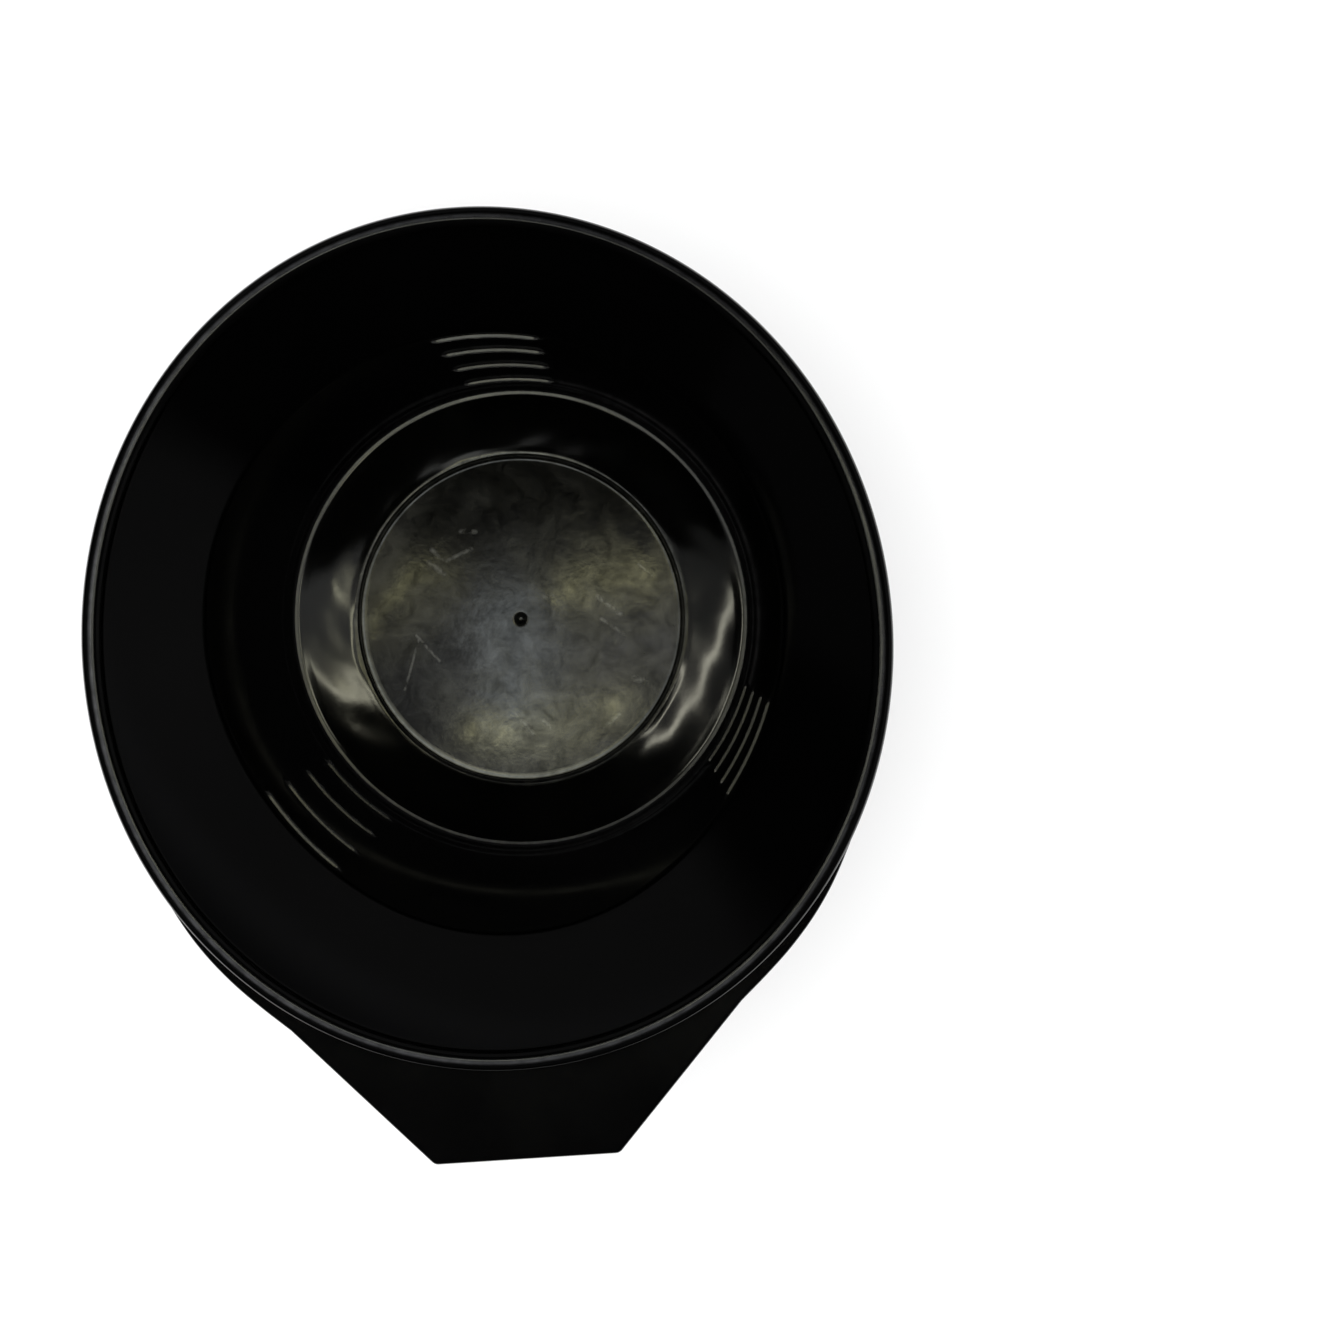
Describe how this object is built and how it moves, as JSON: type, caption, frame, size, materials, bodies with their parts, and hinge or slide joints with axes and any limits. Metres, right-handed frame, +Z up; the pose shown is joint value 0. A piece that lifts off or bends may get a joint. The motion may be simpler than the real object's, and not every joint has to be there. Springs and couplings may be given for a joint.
{
  "type": "hair color bowl",
  "caption": "Round salon tint bowl with a steep well, a flared brim with a rounded bead, a flat grip tab on the rim, raised measuring ribs inside and a rubber ring under the foot",
  "frame": {"origin": "centre of the round foot, on the surface the bowl rests on", "axes": "+Z up out of the bowl, -Y along the grip tab, +X to the right when the tab points toward the viewer"},
  "size_m": [0.137, 0.161, 0.058],
  "materials": {
    "bowl_plastic": "glossy black moulded plastic, lightly scuffed",
    "base_rubber": "matte black rubber"
  },
  "bodies": {
    "root": {"bowl_body": "bowl_plastic", "base_ring": "base_rubber"}
  },
  "joints": []
}
